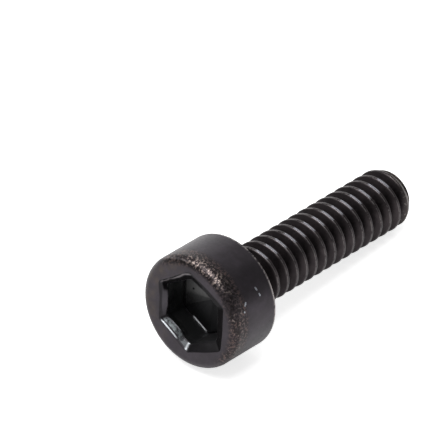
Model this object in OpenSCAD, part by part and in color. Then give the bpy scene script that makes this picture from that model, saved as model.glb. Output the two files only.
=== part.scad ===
// Hex socket cap screw, M1.6 x 0.35 x 6, lying as it comes to rest
// Millimetres, +Z up. The axis runs from the head at -X to the tip at +X.
// Inside cap_screw() the axis is Z, with the bearing face at z = 0 and the shank going up.

/* [Head] */
// outside diameter of the head
head_d = 2.9; // [2.86:0.01:3.0]
// height of the head, bearing face to top
head_h = 1.5; // [1.46:0.01:1.6]
// rounding of the top edge
head_round = 0.22; // [0.05:0.01:0.3]
// small break at the edge of the bearing face
rim_break = 0.04; // [0.01:0.01:0.08]

/* [Socket] */
// hexagon across flats
socket_s = 1.58; // [1.52:0.01:1.6]
// depth of the full hexagon, from the top of the head
socket_t = 0.8; // [0.7:0.01:0.9]
// the pressed mouth: corner radius at the top of the head
mouth_r = 1.12; // [0.95:0.01:1.15]
// depth over which the mouth narrows to the hexagon
mouth_t = 0.14; // [0.05:0.01:0.25]
// rise of the pointed floor below the full hexagon
floor_t = 0.11; // [0.02:0.01:0.14]
// turn of the hexagon about the axis
socket_turn = -2.7; // [-30:0.1:30]

/* [Thread] */
// pitch
pitch = 0.35; // [0.3:0.01:0.4]
// outside diameter over the crests
thread_d = 1.54; // [1.496:0.001:1.581]
// diameter at the bottom of the groove
root_d = 1.17; // [1.1:0.01:1.2]
// length from bearing face to tip
length = 6.15; // [5.76:0.01:6.24]
// axial place of the crest that faces down, counted from the bearing face
crest_phase = 0.312; // [0:0.001:0.35]
// width of the rounded crest
crest_w = 0.13; // [0.04:0.01:0.15]
// how much the rounded crest falls at its two shoulders
crest_fall = 0.02; // [0:0.001:0.03]

/* [Neck and tip] */
// plain neck under the head, the diameter of the rolled blank
neck_d = 1.38; // [1.3:0.01:1.5]
// length of the plain neck
neck_l = 0.34; // [0.2:0.01:0.6]
// fillet between neck and bearing face
fillet_r = 0.12; // [0.1:0.01:0.14]
// flat at the end of the tip
tip_d = 0.86; // [0.6:0.01:1.2]
// length of the rounded end
tip_l = 0.45; // [0.2:0.01:0.5]

/* [Hidden] */
// straight pieces in one turn of the thread
steps = 36;
// turns the head so that a flat between two of its seams faces down
seam_turn = 4.286;
// how far the cuts and joints run past a surface
over = 0.1;
// a step too small to see, which keeps two surfaces from meeting exactly
hair = 0.008;
// step between the wall of the socket and its pointed floor
floor_gap = 0.04;
head_r = head_d / 2;
neck_r = neck_d / 2;
thread_r = thread_d / 2;
root_r = root_d / 2;
tip_r = tip_d / 2;
tip_wide = 1.04 * thread_r;
hex_r = socket_s / 2 / cos(30);
flank = (thread_r - crest_fall - root_r) * tan(30);
// the lowest full crest, and the tilt at which it and the rim of the head touch the ground
rest_z = crest_phase + 15 * pitch;
tilt = atan2(head_r - thread_r, rest_z + rim_break);
lift = head_r * cos(tilt) - rim_break * sin(tilt);
// the ends of the laid screw along X, either side of the origin
tip_x = length * cos(tilt) + tip_r * sin(tilt);
head_x = (head_h - head_round) * cos(tilt) + (head_r - head_round) * sin(tilt) + head_round;
shift = (head_x - tip_x) / 2;
// one pitch of the thread: [axial place, radius]
crest_row = [
  [-crest_w / 2, thread_r - crest_fall],
  [0, thread_r],
  [crest_w / 2, thread_r - crest_fall],
  [crest_w / 2 + flank, root_r],
  [pitch - crest_w / 2 - flank, root_r]
];
row_n = len(crest_row);
// the rounded end, in shares of its widening and of its length
tip_row = [[0, 0], [0.32, 0.15], [0.61, 0.35], [0.8, 0.65], [1, 1]];
// the thread starts past the tip and ends inside the head
start_turn = ceil((length + pitch + over - crest_phase) / pitch);
end_turn = -ceil((crest_phase + pitch + over) / pitch);
col_n = (start_turn - end_turn) * steps;
black_oxide = [0.1, 0.095, 0.1];

// share of full thread depth at an axial place, nothing along the plain neck
function depth_at(z) = min(1, max(0, (z - neck_l) / (0.9 * pitch)));
function thread_point(n, m) =
  let (
    turn = (n + 0.5) / steps,
    z = crest_phase + pitch * (end_turn + turn) + crest_row[m][0],
    blank_r = neck_r - hair,
    r = blank_r + (crest_row[m][1] - blank_r) * depth_at(z)
  )
  [r * cos(360 * turn), r * sin(360 * turn), z];

// a right-hand thread on its core, one closed surface
module thread_rod() {
  low_c = (col_n + 1) * row_n;
  high_c = low_c + 1;
  low_z = crest_phase + pitch * (end_turn + 0.4);
  high_z = crest_phase + pitch * (start_turn - 0.4);
  points = concat(
    [for (n = [0:col_n]) for (m = [0:row_n - 1]) thread_point(n, m)],
    [[0, 0, low_z], [0, 0, high_z]]
  );
  function id(n, m) = n * row_n + m;
  strips = [
    for (n = [0:col_n - 1]) for (m = [0:row_n - 2]) each [
      [id(n, m), id(n + 1, m + 1), id(n + 1, m)],
      [id(n, m), id(n, m + 1), id(n + 1, m + 1)]
    ]
  ];
  joins = [
    for (n = [0:col_n - steps - 1]) each [
      [id(n, row_n - 1), id(n + steps + 1, 0), id(n + 1, row_n - 1)],
      [id(n, row_n - 1), id(n + steps, 0), id(n + steps + 1, 0)]
    ]
  ];
  low_loop = concat(
    [for (n = [0:steps]) id(n, 0)],
    [for (m = [row_n - 1:-1:0]) id(0, m)]
  );
  high_loop = concat(
    [for (n = [col_n - steps:col_n]) id(n, row_n - 1)],
    [for (m = [row_n - 2:-1:0]) id(col_n, m)],
    [id(col_n - steps, row_n - 1)]
  );
  low_cap = [
    for (i = [0:len(low_loop) - 2]) [low_c, low_loop[i], low_loop[i + 1]]
  ];
  high_cap = [
    for (i = [0:len(high_loop) - 2]) [high_c, high_loop[i + 1], high_loop[i]]
  ];
  polyhedron(points = points, faces = concat(strips, joins, low_cap, high_cap), convexity = 20);
}

// everything outside the rounded tip
module tip_waste() {
  rotate_extrude($fn = 96)
    polygon(concat(
      [for (p = tip_row) [tip_r + p[0] * (tip_wide - tip_r), length - p[1] * tip_l]],
      [
        [head_r, length - tip_l],
        [head_r, length + 3 * pitch],
        [0, length + 3 * pitch],
        [0, length]
      ]
    ));
}

// head with its rounded top edge, the broken rim and the fillet under it
module head_blank() {
  rotate_extrude($fn = 96)
    difference() {
      union() {
        translate([0, -head_h])
          square([head_r - head_round, head_h]);
        translate([0, -head_h + head_round])
          square([head_r, head_h - head_round - rim_break]);
        polygon([
          [0, -over],
          [head_r, -over],
          [head_r, -rim_break],
          [head_r - rim_break, 0],
          [0, 0]
        ]);
        intersection() {
          translate([head_r - head_round, -head_h + head_round])
            circle(r = head_round, $fn = 64);
          translate([head_r - head_round - over, -head_h])
            square([head_round + over, head_round + over]);
        }
        translate([0, -over])
          square([neck_r + fillet_r, fillet_r + over]);
      }
      translate([neck_r + fillet_r, fillet_r])
        circle(r = fillet_r, $fn = 64);
    }
}

// the hexagon, its wider pressed mouth and the shallow pointed floor
module socket_cut() {
  slope = (mouth_r - hex_r) / mouth_t;
  translate([0, 0, -head_h])
    rotate([0, 0, socket_turn]) {
      translate([0, 0, -over])
        cylinder(h = socket_t + over, r = hex_r, $fn = 6);
      translate([0, 0, -over])
        cylinder(h = mouth_t + 2 * over, r1 = mouth_r + slope * over, r2 = hex_r - slope * over, $fn = 6);
      translate([0, 0, socket_t - hair])
        cylinder(h = floor_t + hair, r1 = hex_r - floor_gap, r2 = hair, $fn = 6);
    }
}

module cap_screw() {
  color(black_oxide)
    translate([shift, 0, lift])
    rotate([0, 90 + tilt, 0])
    difference() {
      union() {
        rotate([0, 0, seam_turn])
          head_blank();
        difference() {
          thread_rod();
          tip_waste();
        }
      }
      socket_cut();
    }
}

cap_screw();
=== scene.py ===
"""Looks of the hex socket cap screw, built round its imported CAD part.

The screw is made along Z in millimetres, with the bearing face at z = 0, the head below it and the
shank above it, as in the part's source. It is then laid down as the CAD part lies, in metres.
Angles round the axis are in degrees. The middles of the socket's six walls lie near 27, 87, 147,
207, 267 and 327, and its corners halfway between them.
"""
import math

import bpy
import numpy as np
from mathutils import Matrix, Vector, noise


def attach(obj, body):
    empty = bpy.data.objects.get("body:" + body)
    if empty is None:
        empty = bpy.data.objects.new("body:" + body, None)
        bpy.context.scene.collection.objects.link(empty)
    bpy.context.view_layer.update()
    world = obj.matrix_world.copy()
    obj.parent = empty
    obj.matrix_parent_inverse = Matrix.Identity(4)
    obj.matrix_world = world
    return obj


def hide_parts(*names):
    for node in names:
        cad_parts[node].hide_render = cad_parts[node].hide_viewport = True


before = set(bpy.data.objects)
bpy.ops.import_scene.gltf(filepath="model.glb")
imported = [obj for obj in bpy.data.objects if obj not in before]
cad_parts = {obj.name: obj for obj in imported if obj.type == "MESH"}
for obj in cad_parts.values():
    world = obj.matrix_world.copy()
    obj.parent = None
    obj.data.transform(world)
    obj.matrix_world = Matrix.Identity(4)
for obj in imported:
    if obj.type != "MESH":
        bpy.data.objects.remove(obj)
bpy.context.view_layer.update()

# One millimetre, in metres
MM = 0.001
# Driving dimensions, in millimetres, as in the part's source
HEAD_R, HEAD_H, HEAD_ROUND, RIM_BREAK = 1.45, 1.5, 0.22, 0.04
SOCKET_S, SOCKET_T, FLOOR_T, FLOOR_GAP = 1.58, 0.8, 0.11, 0.04
MOUTH_R, MOUTH_T = 1.12, 0.14
SOCKET_TURN = -2.7
PITCH, THREAD_R, ROOT_R, LENGTH = 0.35, 0.77, 0.585, 6.15
CREST_PHASE = 0.312
NECK_R, NECK_L, FILLET_R = 0.69, 0.34, 0.12
TIP_R, TIP_L = 0.43, 0.45
TIP_WIDE = 1.04 * THREAD_R
# The rounded tip: shares of its widening and of its length
TIP_ROW = ((0, 0), (0.32, 0.15), (0.61, 0.35), (0.8, 0.65), (1, 1))
# The pose of the part, which touches the ground at the rim of its head and at the lowest full crest
REST_TURNS = 15
REST_Z = CREST_PHASE + REST_TURNS * PITCH
TILT = math.atan2(HEAD_R - THREAD_R, REST_Z + RIM_BREAK)
LIFT = HEAD_R * math.cos(TILT) - RIM_BREAK * math.sin(TILT)
TIP_X = LENGTH * math.cos(TILT) + TIP_R * math.sin(TILT)
HEAD_X = (HEAD_H - HEAD_ROUND) * math.cos(TILT) + (HEAD_R - HEAD_ROUND) * math.sin(TILT) + HEAD_ROUND
SHIFT = (HEAD_X - TIP_X) / 2
LAY = Matrix.Translation(Vector((SHIFT, 0, LIFT)) * MM) @ Matrix.Rotation(math.pi / 2 + TILT, 4, "Y")

# Finer forms, in millimetres. The crest is a little sharper than the solid's.
CREST_W, CREST_FALL = 0.10, 0.016
# Half the angle of the thread's groove, and the pitches over which the thread rises out of the neck
HALF_FLANK, FADE_PITCHES = math.radians(30), 0.9
# How far a corner of the hexagon is cut back, and the share of its point that is left past the cut
CORNER_ROUND, CORNER_LEFT = 0.03, 0.3
# How far off the axis, and towards which angle, the burred edge of the mouth lies
MOUTH_OFF, MOUTH_TURN = 0.11, 240
# Power of the curve that the lip follows into the socket
MOUTH_CURVE = 0.85
# How far a wall leans inwards along the burr and along the bow, and from which share of its height
BURR_LEAN, BOW_LEAN, LEAN_FROM = 0.07, 0.045, 0.7
# Angle at which the bow starts, and how many degrees it spans
BOW_START, BOW_WIDE = 60, 54
# Width and rise of the bevel between the floor and the walls, and its extra rise at the foot, where a
# glint is painted
BEVEL, BEVEL_RISE, FOOT_RISE = 0.018, 0.002, 0.009
# How much deeper than the foot of the lip the top ring of the wall lies
WALL_GAP = 0.01
# Rise of the face towards the mouth, and depth of the dish in the end of the tip
FACE_RISE, TIP_DISH = 0.004, 0.03
# How far from the end of the tip the last ring of the shank stays
THREAD_STOP = 0.01

# Wobbles round the axis: seed, waves, size
WALL_WOBBLE = (3, 4, 0.004)
LIP_WOBBLE = (5, 3, 0.012)
MOUTH_WOBBLE = (9, 2.5, 0.02)
EDGE_LUMPS, LUMP_DRIFT = (20, 26, 0.004), 3
SHANK_WOBBLE = (40, 5, 0.004)
DISH_WOBBLE = (60, 1, 1.5)
SHADE_WOBBLE = (71, 6, 0.16)

# Mesh fineness: points in a ring, rings in one pitch, and the angle from which an edge is sharp
COLUMNS, ROWS_A_PITCH, SHARP = 126, 36, math.radians(25)
# Shares of the way along each stretch of the profile at which a ring is made
STEPS = {
    "floor": np.linspace(0.02, 0.97, 7),
    "wall": np.linspace(0.02, 1, 16),
    "lip": np.linspace(0.06, 1, 16),
    "face": np.linspace(0.04, 1, 10),
    "edge": np.linspace(0.06, 1, 16),
    "side": np.linspace(0.03, 1, 30),
    "rim": (0.35, 0.7, 1),
    "underside": np.linspace(0.1, 1, 7),
    "fillet": np.linspace(0.15, 1, 6),
    "end": np.linspace(0, 0.98, 10),
}

# What the material reads off the mesh, each from 0 to 1
MARKS = (
    "wall", "floor", "sheen", "foot", "lip", "patch", "rimlight", "tick", "crescent", "hairline", "shade",
    "line", "flecks", "strays", "brown", "calm", "tan", "rim", "shank", "crest", "polish", "end",
)
# Where the marks and the burr lie round the axis: from, to, softness of both ends
TURNS = {
    # Painted reflection on one facet of the floor of the socket
    "sheen": (59, 115, 2),
    "sheen_fade": (59, 80, 12),
    # Painted glint along the bevel at the floor's foot
    "foot": (3, 34, 2),
    "burr": (24, 50, 14),
    "wall_shade": (300, 352, 4),
    "patch": (16, 53, 3),
    "patch_tail": (3, 16, 3),
    "rimlight": (22, 54, 4),
    "lip_hairline": (120, 176, 4),
    "burr_shade": (110, 196, 6),
    "far_shade": (186, 297, 3),
    "low_shade": (297, 355, 2),
    "flecks": (178, 210, 14),
    "strays": (176, 300, 10),
    "tan": (52, 150, 30),
    "brown": (150, 300, 22),
    "calm": (216, 246, 10),
    "ridge": (132, 170, 8),
    # A smoother strip on the crests, coloured as a painted highlight
    "polish": (186, 208, 4),
}
# Where the marks lie across the lip, 0 at the wall and 1 at the edge: from, to, softness
ACROSS = {
    "patch": (0.1, 0.62, 0.08),
    "patch_tail": (0.2, 0.75, 0.1),
    "rimlight": (0.87, 0.93, 0.05),
    "tick": (0, 0.85, 0.1),
}
CRESCENT_FROM, CRESCENT_TO, CRESCENT_BULGE, CRESCENT_SOFT = 0.05, 0.3, 0.4, 0.1
HAIRLINE_FROM, HAIRLINE_TO, HAIRLINE_SOFT = 0.7, 0.8, 0.09
SHADE_FROM, SHADE_TO = 0.45, 0.65
# How much later round the axis the bright patch starts at the edge than at the wall
PATCH_SLANT = 4
# Degrees to which the bright corner is full at the edge, how many more at the wall, and where it ends
TICK_EDGE, TICK_SPREAD, TICK_END = 0.4, 1.4, 2.2
# Where the wear lies along the profile, in millimetres from the flat face: from, to, softness
WEAR_ARCS = {
    "flecks": (0.16, 0.34, 0.12),
    "strays": (0.14, 0.42, 0.12),
    "brown": (0.14, 0.52, 0.18),
    "calm": (0.10, 0.42, 0.1),
    "tan": (-0.16, 0.12, 0.14),
}
# The worn ridge: angles and its distance from the flat face there, angles and its strength there
RIDGE_ARC = (110, 128, 146, 160, 184, 194), (0.26, 0.33, 0.22, 0.18, 0.17, 0.22)
RIDGE_STRENGTH = (112, 130, 160, 174, 204, 216), (0, 1, 0.8, 1, 1, 0)
# Widths of the worn line and of the thin light ridge along it
LINE_W, RIDGE_W = 0.035, 0.02
# Where the marks lie across a crest, in millimetres from its middle: from, to, softness
WORN_SIDE = (-0.030, -0.020, 0.012)
POLISH_AND_HIGHLIGHT_SIDE = (-0.02, 0.036, 0.016)
# Angles between which the worn line on the crests fades, and the shade of the lip's far side deepens
WORN_FADE = (225, 290)
FAR_SHADE_STEP = (234, 240)
# Axial places between which the wear of the crests ends and the paler end begins
CREST_END = (LENGTH - 0.56, LENGTH - 0.48)
PALE_END = (LENGTH - 0.48, LENGTH - 0.3)
# A crest still counts as whole where the rounded tip cuts it by less than this, in millimetres
CREST_CLEAR = 0.01
# Strengths that aren't full: of marks on the mesh, then of effects in the material
SHARE = {
    "sheen_fade": 0.6,
    "wall_shade": 0.5,
    "patch_tail": 0.3,
    "far_shade": 0.5,
    "low_shade": 0.2,
    "ridge": 0.7,
    "side_rim": 0.7,
    "worn_fade": 0.4,
    "worn_end": 0.3,
    "cloud": 0.5,
    "calm": 0.65,
    "brown": 0.8,
    "strays": 0.35,
    "line": 0.55,
    "patch_least": 0.15,
}

# Small bright nicks on the side of the head: angle round the axis, axial place, radius
NICKS = (
    (233.5, -0.52, 0.026), (234.7, -0.51, 0.034), (236, -0.50, 0.026), (240.5, -0.47, 0.026),
    (242, -0.46, 0.032), (241.5, -0.97, 0.028), (242.5, -0.99, 0.034), (243.5, -1.02, 0.026),
    (249, -1.08, 0.030),
)
# A small dark pit in the lighter facet of the socket's floor: radius, angle, axial place
FLOOR_PIT, PIT_R = (0.55, 98, -0.66), 0.035
# Share of a spot's radius inside which it is full
SPOT_CORE = 0.6

# Noise fields of the finish: scale, detail, roughness
GRAINS = {
    "fine": (14000, 4.0, 0.6),
    "coarse": (1500, 4.0, 0.6),
    "speck": (11000, 2.0, 0.75),
    "grit": (15000, 2.0, 0.7),
    "cloud": (4500, 4.0, 0.6),
    "stain": (3500, 4.0, 0.6),
    "stray": (12000, 2.0, 0.6),
    "streak": (9000, 3.0, 0.7),
}
# Where each cut through a noise field turns from 0 to 1; one with the higher value first keeps the lows
CUTS = {
    "grey": (0.35, 0.65),
    "cloud": (0.35, 0.65),
    "tan": (0.35, 0.8),
    "flank": (0.4, 0.6),
    "end_speck": (0.60, 0.67),
    "crest": (0.35, 0.55),
    "rim": (0.38, 0.56),
    "brown": (0.50, 0.60),
    "thin_black": (0.56, 0.42),
    "flecks": (0.55, 0.62),
    "strays": (0.60, 0.68),
    "line": (0.44, 0.60),
    "sheen": (0.2, 0.5),
    "streaks": (0.38, 0.62),
}
# Base colours of the finish, linear
TONES = {
    "black": (0.049, 0.043, 0.050),
    "grey": (0.062, 0.054, 0.063),
    "cloud": (0.044, 0.040, 0.043),
    "tan": (0.078, 0.064, 0.058),
    "groove": (0.040, 0.034, 0.036),
    "flank": (0.052, 0.044, 0.046),
    "end": (0.100, 0.088, 0.083),
    "end_speck": (0.38, 0.36, 0.35),
    "crest": (0.16, 0.148, 0.148),
    # Painted highlight on the crests
    "polish": (0.46, 0.46, 0.51),
    "rim": (0.48, 0.44, 0.43),
    "thin_black": (0.032, 0.027, 0.027),
    "brown": (0.115, 0.080, 0.072),
    "bare": (0.40, 0.33, 0.30),
    "nick": (0.36, 0.38, 0.42),
    "wall": (0.11, 0.11, 0.115),
    "floor": (0.024, 0.024, 0.025),
    # Painted reflection
    "sheen": (0.10, 0.10, 0.10),
    "pit": (0.01, 0.01, 0.01),
    "lip": (0.034, 0.032, 0.035),
    "crescent": (0.066, 0.061, 0.068),
    "hairline": (0.20, 0.18, 0.19),
    "shade": (0.008, 0.007, 0.008),
    "patch": (0.21, 0.23, 0.24),
    "bright": (0.40, 0.42, 0.44),
    # Painted glint
    "foot": (0.90, 0.92, 0.94),
}
# Places of the colours among a mix node's inputs and outputs
MIX_A, MIX_B, MIX_OUT = 6, 7, 2
# Roughness: its least, what the grain adds, what polish takes off and what shade adds
ROUGH, ROUGH_GRAIN, ROUGH_POLISH, ROUGH_SHADE = 0.26, 0.24, 0.2, 0.5
# Fine relief: strength, height in metres, what brown specks add and what the shank loses
BUMP, BUMP_HEIGHT, BUMP_BROWN, SHANK_SMOOTH = 0.35, 0.006 * MM, 1.5, 0.75

# The camera, from the fit to the photograph: lens in pixels of a 444-pixel frame, aim and distance
# in millimetres, azimuth counted from +X
FRAME_PX, LENS_PX, SENSOR = 444, 5675, 36.0
AIM, DISTANCE = (-0.849, 1.436, 1.892), 135.4
AZIMUTH, ELEVATION, ROLL = 221.26, 38.21, -0.78
CLIP_NEAR, CLIP_FAR = 0.005, 5

# The studio, in metres and watts: place, size and power of each softbox
SOFTBOXES = {
    "key_softbox": ((-0.045, 0.01, 0.195), (0.16, 0.16), 0.38),
    "back_softbox": ((0.10, 0.16, 0.05), (0.22, 0.14), 0.10),
    "strip_softbox": ((0.149, 0.036, 0.129), (0.165, 0.08), 0.02),
}
# The floor: half its width, tone, glow, and the share of the glow that glossy rays see
FLOOR_HALF, FLOOR_TONE, FLOOR_GLOW, FLOOR_IN_METAL = 0.4, 0.9, 0.72, 0.3
# Strength of the world as light, and where the camera sees it
WORLD_LIGHT, WORLD_SEEN = 0.36, 1.0

degrees = SOCKET_TURN + np.arange(COLUMNS) * 360 / COLUMNS
angle = np.radians(degrees)
turn_of = degrees % 360


def soft_step(value, low, high):
    """0 below low, 1 above high, smooth between."""
    t = np.clip((value - low) / (high - low), 0, 1)
    return t * t * (3 - 2 * t)


def window(value, low, high, soft):
    """1 between low and high, falling to 0 over soft outside them."""
    return soft_step(value, low - soft, low) * (1 - soft_step(value, high, high + soft))


def around(name):
    """1 where the named mark lies round the axis."""
    return window(turn_of, *TURNS[name])


def ragged(wobble, drift=0.0):
    """A closed, repeatable wobble round the axis; drift changes it little by little from ring to ring."""
    seed, waves, size = wobble
    points = [Vector((math.cos(a) * waves, math.sin(a) * waves, seed + drift)) for a in angle]
    return size * np.array([noise.noise(p) for p in points])


def hexagon(across_flats):
    """Radius of a hexagon at each column, with its corners a little rounded."""
    off = np.radians((degrees - SOCKET_TURN) % 60 - 30)
    sharp = across_flats / 2 / np.cos(off)
    limit = across_flats / 2 / math.cos(math.radians(30)) - CORNER_ROUND
    return np.minimum(sharp, limit + CORNER_LEFT * (sharp - limit))


def thread_at(z):
    """Radius of the rolled thread at each column, where its worn line is, and where it is smoother and
    carries a painted highlight.
    """
    turn = (z - CREST_PHASE) / PITCH - angle / (2 * np.pi)
    side = (turn - np.round(turn)) * PITCH
    off = np.abs(side)
    crest = THREAD_R - CREST_FALL * (off / (CREST_W / 2)) ** 2
    flank = THREAD_R - CREST_FALL - (off - CREST_W / 2) / math.tan(HALF_FLANK)
    raw = np.where(off < CREST_W / 2, crest, np.maximum(flank, ROOT_R))
    full = soft_step(z, NECK_L, NECK_L + FADE_PITCHES * PITCH)
    worn = window(side, *WORN_SIDE) * full * (1 - SHARE["worn_fade"] * soft_step(turn_of, *WORN_FADE))
    lit = window(side, *POLISH_AND_HIGHLIGHT_SIDE) * full * around("polish")
    return NECK_R + (raw - NECK_R) * full, worn, lit


def tip_radius(z):
    """Radius of the rounded tip at axial place z."""
    widening, place = zip(*TIP_ROW)
    share = np.interp(max(0.0, LENGTH - z) / TIP_L, place, widening)
    return TIP_R + (TIP_WIDE - TIP_R) * share


def wear(arc):
    """Marks of wear round the top edge, at a distance from the flat face along the profile."""
    marks = {name: around(name) * window(arc, *arcs) for name, arcs in WEAR_ARCS.items()}
    off = arc - np.interp(turn_of, *RIDGE_ARC)
    marks["line"] = np.interp(turn_of, *RIDGE_STRENGTH) * np.exp(-(off / LINE_W) ** 2)
    marks["hairline"] = SHARE["ridge"] * around("ridge") * np.exp(-(off / RIDGE_W) ** 2)
    return marks


class Skin:
    """Rings of points round the axis, with the marks that the material reads."""

    def __init__(self):
        self.rings, self.marks = [], []

    def ring(self, radius, z, **marks):
        """Adds a ring, with its radius, axial place and marks each as one number or one per column."""
        z = np.broadcast_to(np.asarray(z, float), (COLUMNS,))
        self.rings.append(np.stack([radius * np.cos(angle), radius * np.sin(angle), z], 1))
        self.marks.append({k: np.broadcast_to(np.asarray(v, float), (COLUMNS,)) for k, v in marks.items()})


def floor_rings(skin, inner):
    """The pointed floor of the socket, from its middle out, and the bevel at its foot; a glint is painted
    along part of the bevel and a reflection on one facet of the floor.
    """
    bottom = -HEAD_H + SOCKET_T
    sheen = around("sheen") * (1 - SHARE["sheen_fade"] * around("sheen_fade"))
    for t in STEPS["floor"]:
        skin.ring((inner - FLOOR_GAP) * t, bottom + FLOOR_T * (1 - t), floor=1, sheen=sheen)
    # The bevel rises more where a glint is painted along it
    foot = around("foot")
    skin.ring(inner - FLOOR_GAP, bottom, floor=1)
    skin.ring(inner - BEVEL, bottom, floor=1, foot=foot)
    skin.ring(inner, bottom - BEVEL_RISE - FOOT_RISE * foot, floor=1, foot=foot)


def wall_rings(skin, inner, burr):
    """The walls of the socket, which lean inwards near the top where they are burred."""
    shade = SHARE["wall_shade"] * around("wall_shade")
    for t in STEPS["wall"]:
        depth = SOCKET_T + (MOUTH_T + WALL_GAP - SOCKET_T) * t
        bent = burr * soft_step(t, LEAN_FROM, 1)
        skin.ring(inner - bent + ragged(WALL_WOBBLE, t), -HEAD_H + depth, wall=1, shade=shade)


def lip_marks(t, bow, wave):
    """Marks of the pressed mouth, at share t of the way from the wall to the edge."""
    start, stop, soft = TURNS["patch"]
    corner = np.minimum(turn_of, 360 - turn_of)
    tick = 1 - soft_step(corner, TICK_EDGE + TICK_SPREAD * (1 - t), TICK_END)
    far = SHARE["far_shade"] + (1 - SHARE["far_shade"]) * soft_step(turn_of, *FAR_SHADE_STEP)
    return {
        "lip": 1,
        "patch": np.maximum(
            window(turn_of, start + PATCH_SLANT * t, stop, soft) * window(t, *ACROSS["patch"]),
            SHARE["patch_tail"] * around("patch_tail") * window(t, *ACROSS["patch_tail"]),
        ),
        "rimlight": around("rimlight") * window(t, *ACROSS["rimlight"]),
        "tick": tick * window(t, *ACROSS["tick"]),
        "crescent": bow * window(t, CRESCENT_FROM, CRESCENT_TO + CRESCENT_BULGE * bow, CRESCENT_SOFT),
        "hairline": around("lip_hairline") * window(
            t, HAIRLINE_FROM + wave, HAIRLINE_TO + wave, HAIRLINE_SOFT
        ),
        "shade": np.maximum.reduce([
            around("burr_shade") * (1 - soft_step(t, SHADE_FROM + wave, SHADE_TO + wave)),
            around("far_shade") * far,
            SHARE["low_shade"] * around("low_shade"),
        ]),
    }


def socket_rings(skin):
    """The socket from the middle of its floor to the edge of its mouth, whose radius it returns."""
    inner = hexagon(SOCKET_S)
    bow = np.sin(np.radians(np.clip((turn_of - BOW_START) * 180 / BOW_WIDE, 0, 180))) ** 0.5
    burr = BURR_LEAN * around("burr") + BOW_LEAN * bow
    floor_rings(skin, inner)
    wall_rings(skin, inner, burr)
    pressed = MOUTH_OFF * np.cos(angle - math.radians(MOUTH_TURN))
    wide = hexagon(MOUTH_R * 2 * math.cos(math.radians(30))) + pressed + ragged(MOUTH_WOBBLE)
    wave = ragged(SHADE_WOBBLE)
    for t in STEPS["lip"]:
        skin.ring(
            inner - burr + (wide - inner + burr) * t,
            -HEAD_H + MOUTH_T * (1 - t) ** MOUTH_CURVE + ragged(LIP_WOBBLE, t) * (1 - t),
            **lip_marks(t, bow, wave),
        )
    return wide


def head_rings(skin, mouth):
    """The head from the edge of the mouth over its rounded edge and side to the fillet at the neck."""
    top = -HEAD_H
    flat_end = HEAD_R - HEAD_ROUND
    for t in STEPS["face"]:
        radius = mouth + (flat_end - mouth) * t
        skin.ring(radius, top - FACE_RISE * (1 - t), **wear(radius - flat_end))
    for t in STEPS["edge"]:
        a = t * math.pi / 2
        lump = ragged(EDGE_LUMPS, t * LUMP_DRIFT)
        radius = flat_end + HEAD_ROUND * math.sin(a) + lump
        skin.ring(radius, top + HEAD_ROUND * (1 - math.cos(a)), **wear(a * HEAD_ROUND))
    for t in STEPS["side"]:
        down = (HEAD_H - HEAD_ROUND - RIM_BREAK) * t
        marks = wear(HEAD_ROUND * math.pi / 2 + down)
        skin.ring(HEAD_R, top + HEAD_ROUND + down, rim=SHARE["side_rim"] * (t == 1), **marks)
    for t in STEPS["rim"]:
        a = t * math.pi / 2
        skin.ring(HEAD_R - RIM_BREAK * (1 - math.cos(a)), -RIM_BREAK + RIM_BREAK * math.sin(a), rim=1)
    for t in STEPS["underside"]:
        skin.ring(HEAD_R - RIM_BREAK + (NECK_R + FILLET_R - HEAD_R + RIM_BREAK) * t, 0)
    for t in STEPS["fillet"]:
        a = t * math.pi / 2
        skin.ring(NECK_R + FILLET_R * (1 - math.sin(a)), FILLET_R * (1 - math.cos(a)))


def shank_rings(skin):
    """The neck, the thread, the rounded tip and its slightly dished end."""
    step = PITCH / ROWS_A_PITCH
    wander = ragged(SHANK_WOBBLE)
    for z in np.arange(FILLET_R + step, LENGTH - THREAD_STOP, step):
        radius, worn, lit = thread_at(z)
        cap = tip_radius(z)
        whole = (radius < cap + CREST_CLEAR) * (1 - soft_step(z, *CREST_END))
        crest = worn * (SHARE["worn_end"] + (1 - SHARE["worn_end"]) * whole)
        radius = np.minimum(radius - np.abs(wander), cap)
        skin.ring(radius, z, shank=1, crest=crest, polish=lit * whole, end=soft_step(z, *PALE_END))
    uneven = 1 + ragged(DISH_WOBBLE)
    for t in STEPS["end"]:
        dish = TIP_DISH * (1 - (1 - t) ** 2) * uneven
        skin.ring(TIP_R * (1 - t), LENGTH - np.maximum(dish, 0), shank=1, end=1)


def soften_thread(mesh, start):
    """Keeps the shank smooth: a sharp edge would climb the crests in steps from row to row."""
    ends = np.empty(len(mesh.edges) * 2, int)
    mesh.edges.foreach_get("vertices", ends)
    sharp = np.empty(len(mesh.edges), bool)
    flags = mesh.attributes["sharp_edge"].data
    flags.foreach_get("value", sharp)
    flags.foreach_set("value", sharp & (ends.reshape(-1, 2).min(1) < start))


def ring_faces(count):
    """Quads between count rings, and one face that closes each end."""
    i, j = np.meshgrid(np.arange(count - 1), np.arange(COLUMNS), indexing="ij")
    near, far = i * COLUMNS, (i + 1) * COLUMNS
    following = (j + 1) % COLUMNS
    quads = np.stack([near + j, far + j, far + following, near + following], -1).reshape(-1, 4).tolist()
    first = list(range(COLUMNS))
    last = [(count - 1) * COLUMNS + k for k in range(COLUMNS)]
    return quads + [first, last[::-1]]


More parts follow.
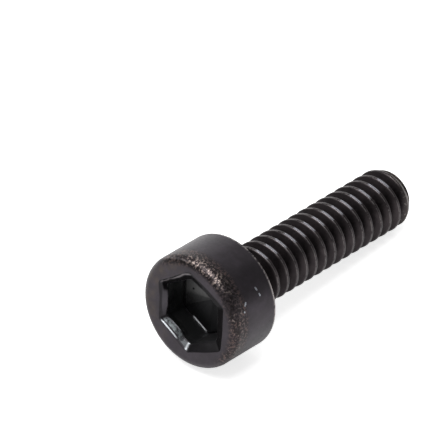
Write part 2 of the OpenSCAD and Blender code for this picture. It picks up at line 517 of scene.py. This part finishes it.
def build_screw():
    """The whole screw as one closed mesh, laid down as the CAD part lies."""
    skin = Skin()
    mouth = socket_rings(skin)
    head_rings(skin, mouth)
    thread_start = len(skin.rings) * COLUMNS
    shank_rings(skin)
    points = np.array(skin.rings).reshape(-1, 3)
    mesh = bpy.data.meshes.new("cap_screw_skin")
    mesh.from_pydata((points * MM).tolist(), [], ring_faces(len(skin.rings)))
    for name in MARKS:
        values = np.array([m.get(name, np.zeros(COLUMNS)) for m in skin.marks]).ravel()
        mesh.attributes.new(name, "FLOAT", "POINT").data.foreach_set("value", values)
    mesh.update()
    mesh.validate()
    mesh.polygons.foreach_set("use_smooth", [True] * len(mesh.polygons))
    mesh.set_sharp_from_angle(angle=SHARP)
    soften_thread(mesh, thread_start)
    mesh.transform(LAY)
    screw = bpy.data.objects.new("cap_screw_skin", mesh)
    bpy.context.scene.collection.objects.link(screw)
    return screw


def on_screw(radius, turn, z):
    """A point of the laid screw, from its distance off the axis, its angle and its axial place."""
    a = math.radians(turn)
    return LAY @ (Vector((radius * math.cos(a), radius * math.sin(a), z)) * MM)


class Nodes:
    """Short calls for building a node tree."""

    def __init__(self, name):
        self.material = bpy.data.materials.new(name)
        self.material.use_nodes = True
        self.tree = self.material.node_tree
        self.tree.nodes.clear()

    def add(self, kind, **settings):
        made = self.tree.nodes.new(kind)
        for key, value in settings.items():
            if hasattr(made, key):
                setattr(made, key, value)
            else:
                made.inputs[key].default_value = value
        return made

    def join(self, source, target):
        self.tree.links.new(source, target)

    def mark(self, name):
        """One of the marks on the mesh."""
        return self.add("ShaderNodeAttribute", attribute_name=name).outputs["Fac"]

    def maths(self, operation, a, b, clamp=False):
        made = self.add("ShaderNodeMath", operation=operation, use_clamp=clamp)
        for slot, value in zip(made.inputs, (a, b)):
            if isinstance(value, (int, float)):
                slot.default_value = value
            else:
                self.join(value, slot)
        return made.outputs[0]

    def times(self, a, b):
        return self.maths("MULTIPLY", a, b)

    def spot(self, where, centre, radius):
        """1 at a point, 0 from a radius in millimetres on."""
        away = self.add("ShaderNodeVectorMath", operation="DISTANCE")
        self.join(where, away.inputs[0])
        away.inputs[1].default_value = centre
        return self.ramp(away.outputs["Value"], radius * MM, SPOT_CORE * radius * MM)

    def ramp(self, value, low, high):
        """0 at low, 1 at high, smooth between, whichever of the two is greater."""
        made = self.add("ShaderNodeMapRange", interpolation_type="SMOOTHSTEP")
        self.join(value, made.inputs["Value"])
        made.inputs["From Min"].default_value = low
        made.inputs["From Max"].default_value = high
        return made.outputs["Result"]

    def cut(self, field, name):
        """A noise field pressed towards 0 and 1, by its entry in CUTS."""
        return self.ramp(field, *CUTS[name])

    def grain(self, where, name):
        """A noise field over the object, by its entry in GRAINS."""
        made = self.add("ShaderNodeTexNoise")
        for slot, value in zip(("Scale", "Detail", "Roughness"), GRAINS[name]):
            made.inputs[slot].default_value = value
        self.join(where, made.inputs["Vector"])
        return made.outputs["Fac"]

    def blend(self, share, a, b):
        """Tone a where share is 0 and tone b where it is 1; each may be a name in TONES."""
        made = self.add("ShaderNodeMix", data_type="RGBA")
        self.join(share, made.inputs["Factor"])
        for slot, value in ((made.inputs[MIX_A], a), (made.inputs[MIX_B], b)):
            if isinstance(value, str):
                slot.default_value = (*TONES[value], 1)
            else:
                self.join(value, slot)
        return made.outputs[MIX_OUT]


def steel_tone(n, where, coarse, speck, grit):
    """The black finish of head and shank, worn along the crests and the rim, paler towards the end, with a
    painted highlight on the crests.
    """
    tone = n.blend(n.cut(coarse, "grey"), "black", "grey")
    tone = n.blend(n.times(n.cut(n.grain(where, "cloud"), "cloud"), SHARE["cloud"]), tone, "cloud")
    tone = n.blend(n.times(n.mark("tan"), n.cut(n.grain(where, "stain"), "tan")), tone, "tan")
    mottled = n.blend(n.cut(coarse, "flank"), "groove", "flank")
    tone = n.blend(n.mark("shank"), tone, mottled)
    tone = n.blend(n.mark("end"), tone, "end")
    tone = n.blend(n.times(n.mark("end"), n.cut(grit, "end_speck")), tone, "end_speck")
    tone = n.blend(n.times(n.mark("crest"), n.cut(speck, "crest")), tone, "crest")
    # A highlight painted on the crests, where they are smoother
    tone = n.blend(n.mark("polish"), tone, "polish")
    return n.blend(n.times(n.mark("rim"), n.cut(speck, "rim")), tone, "rim")


def edge_tone(n, where, grit, tone):
    """Wear round the top edge: brown where the black is thin, bare in flecks and a line, and nicks."""
    speckled = n.times(n.mark("brown"), n.maths("SUBTRACT", 1.0, n.times(n.mark("calm"), SHARE["calm"])))
    brown = n.times(speckled, n.cut(grit, "brown"))
    tone = n.blend(n.times(n.mark("brown"), n.cut(grit, "thin_black")), tone, "thin_black")
    tone = n.blend(n.times(brown, SHARE["brown"]), tone, "brown")
    flecks = n.times(n.mark("flecks"), n.cut(grit, "flecks"))
    strays = n.times(n.mark("strays"), n.times(n.cut(n.grain(where, "stray"), "strays"), SHARE["strays"]))
    line = n.times(n.mark("line"), n.cut(grit, "line"))
    bare = n.maths("MAXIMUM", n.maths("MAXIMUM", flecks, strays), n.times(line, SHARE["line"]))
    nicks = 0.0
    for turn, z, radius in NICKS:
        nicks = n.maths("MAXIMUM", nicks, n.spot(where, on_screw(HEAD_R, turn, z), radius))
    tone = n.blend(bare, tone, "bare")
    return n.blend(nicks, tone, "nick"), brown


def socket_tone(n, where, coarse, tone):
    """The socket: dark walls, one facet of the floor lightened as a painted reflection, a painted glint at
    the floor's foot, and the burred lip with painted shade and a painted rim light.
    """
    tone = n.blend(n.mark("wall"), tone, "wall")
    tone = n.blend(n.mark("floor"), tone, "floor")
    # A reflection painted on one facet of the floor
    tone = n.blend(n.times(n.mark("sheen"), n.cut(coarse, "sheen")), tone, "sheen")
    tone = n.blend(n.spot(where, on_screw(*FLOOR_PIT), PIT_R), tone, "pit")
    for name in ("lip", "crescent", "hairline", "shade"):
        tone = n.blend(n.mark(name), tone, name)
    streaks = n.cut(n.grain(where, "streak"), "streaks")
    patch = n.times(n.mark("patch"), n.maths("ADD", SHARE["patch_least"], streaks, clamp=True))
    tone = n.blend(patch, tone, "patch")
    tone = n.blend(n.maths("MAXIMUM", n.mark("rimlight"), n.mark("tick")), tone, "bright")
    # A glint painted along the bevel at the floor's foot
    return n.blend(n.mark("foot"), tone, "foot")


def black_oxide():
    """The satin black finish with all its wear, grain and fine relief."""
    n = Nodes("black_oxide_steel")
    where = n.add("ShaderNodeTexCoord").outputs["Object"]
    fine, coarse, speck, grit = (n.grain(where, name) for name in ("fine", "coarse", "speck", "grit"))
    tone = steel_tone(n, where, coarse, speck, grit)
    tone, brown = edge_tone(n, where, grit, tone)
    tone = socket_tone(n, where, coarse, tone)
    rough = n.maths("ADD", ROUGH, n.times(fine, ROUGH_GRAIN))
    rough = n.maths("SUBTRACT", rough, n.times(n.mark("polish"), ROUGH_POLISH))
    rough = n.maths("ADD", rough, n.times(n.mark("shade"), ROUGH_SHADE))
    bump = n.add("ShaderNodeBump")
    bump.inputs["Strength"].default_value = BUMP
    bump.inputs["Distance"].default_value = BUMP_HEIGHT
    smooth = n.maths("SUBTRACT", 1.0, n.times(n.mark("shank"), SHANK_SMOOTH))
    n.join(n.maths("ADD", n.times(fine, smooth), n.times(brown, BUMP_BROWN)), bump.inputs["Height"])
    shader = n.add("ShaderNodeBsdfPrincipled", Metallic=1.0)
    n.join(tone, shader.inputs["Base Color"])
    n.join(rough, shader.inputs["Roughness"])
    n.join(bump.outputs["Normal"], shader.inputs["Normal"])
    out = n.add("ShaderNodeOutputMaterial")
    n.join(shader.outputs["BSDF"], out.inputs["Surface"])
    return n.material


def pale_floor():
    """White for the camera, partly so for glossy rays, with a faint shadow; plain pale for the rest."""
    n = Nodes("pale_floor")
    diffuse = n.add("ShaderNodeBsdfDiffuse")
    diffuse.inputs["Color"].default_value = (FLOOR_TONE, FLOOR_TONE, FLOOR_TONE, 1)
    glow = n.add("ShaderNodeEmission", Strength=FLOOR_GLOW)
    both = n.add("ShaderNodeAddShader")
    n.join(diffuse.outputs[0], both.inputs[0])
    n.join(glow.outputs[0], both.inputs[1])
    pick = n.add("ShaderNodeMixShader")
    rays = n.add("ShaderNodeLightPath").outputs
    in_metal = n.times(rays["Is Glossy Ray"], FLOOR_IN_METAL)
    n.join(n.maths("ADD", rays["Is Camera Ray"], in_metal), pick.inputs[0])
    n.join(diffuse.outputs[0], pick.inputs[1])
    n.join(both.outputs[0], pick.inputs[2])
    out = n.add("ShaderNodeOutputMaterial")
    n.join(pick.outputs[0], out.inputs["Surface"])
    return n.material


def add_floor():
    """A wide pale sheet under the screw."""
    mesh = bpy.data.meshes.new("floor")
    half = FLOOR_HALF
    corners = [(-half, -half, 0), (half, -half, 0), (half, half, 0), (-half, half, 0)]
    mesh.from_pydata(corners, [], [(0, 1, 2, 3)])
    floor = bpy.data.objects.new("floor", mesh)
    bpy.context.scene.collection.objects.link(floor)
    mesh.materials.append(pale_floor())


def add_world():
    """Plain grey light on the object, and paler where the camera sees past the floor."""
    world = bpy.data.worlds.new("studio")
    bpy.context.scene.world = world
    world.use_nodes = True
    tree = world.node_tree
    tree.nodes.clear()
    rays = tree.nodes.new("ShaderNodeLightPath")
    back = tree.nodes.new("ShaderNodeBackground")
    strength = tree.nodes.new("ShaderNodeMapRange")
    tree.links.new(rays.outputs["Is Camera Ray"], strength.inputs["Value"])
    strength.inputs["To Min"].default_value = WORLD_LIGHT
    strength.inputs["To Max"].default_value = WORLD_SEEN
    tree.links.new(strength.outputs["Result"], back.inputs["Strength"])
    out = tree.nodes.new("ShaderNodeOutputWorld")
    tree.links.new(back.outputs[0], out.inputs["Surface"])


def add_softbox(name, place, size, power):
    """A rectangular lamp that faces the object and that the camera doesn't see."""
    lamp = bpy.data.lights.new(name, "AREA")
    lamp.shape, lamp.size, lamp.size_y = "RECTANGLE", size[0], size[1]
    lamp.energy = power
    made = bpy.data.objects.new(name, lamp)
    made.location = place
    made.rotation_mode = "QUATERNION"
    made.rotation_quaternion = (-Vector(place)).to_track_quat("-Z", "Y")
    made.visible_camera = False
    bpy.context.scene.collection.objects.link(made)


def add_camera():
    """Looks at AIM from the fitted direction and distance, with the fitted roll."""
    camera = bpy.data.objects.new("camera", bpy.data.cameras.new("camera"))
    camera.data.sensor_width = SENSOR
    camera.data.lens = LENS_PX * SENSOR / FRAME_PX
    camera.data.clip_start, camera.data.clip_end = CLIP_NEAR, CLIP_FAR
    azimuth, elevation = math.radians(AZIMUTH), math.radians(ELEVATION)
    level = math.cos(elevation)
    back = Vector((math.cos(azimuth) * level, math.sin(azimuth) * level, math.sin(elevation)))
    camera.location = (Vector(AIM) + back * DISTANCE) * MM
    upright = (-back).to_track_quat("-Z", "Y").to_matrix().to_4x4()
    roll = Matrix.Rotation(math.radians(ROLL), 4, "Z")
    camera.rotation_mode = "QUATERNION"
    camera.rotation_quaternion = (upright @ roll).to_quaternion()
    bpy.context.scene.collection.objects.link(camera)
    bpy.context.scene.camera = camera


screw = build_screw()
screw.data.materials.append(black_oxide())
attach(screw, "root")
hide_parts("cap_screw")
add_floor()
add_world()
for name, (place, size, power) in SOFTBOXES.items():
    add_softbox(name, place, size, power)
add_camera()
bpy.context.scene.view_settings.view_transform = "Standard"
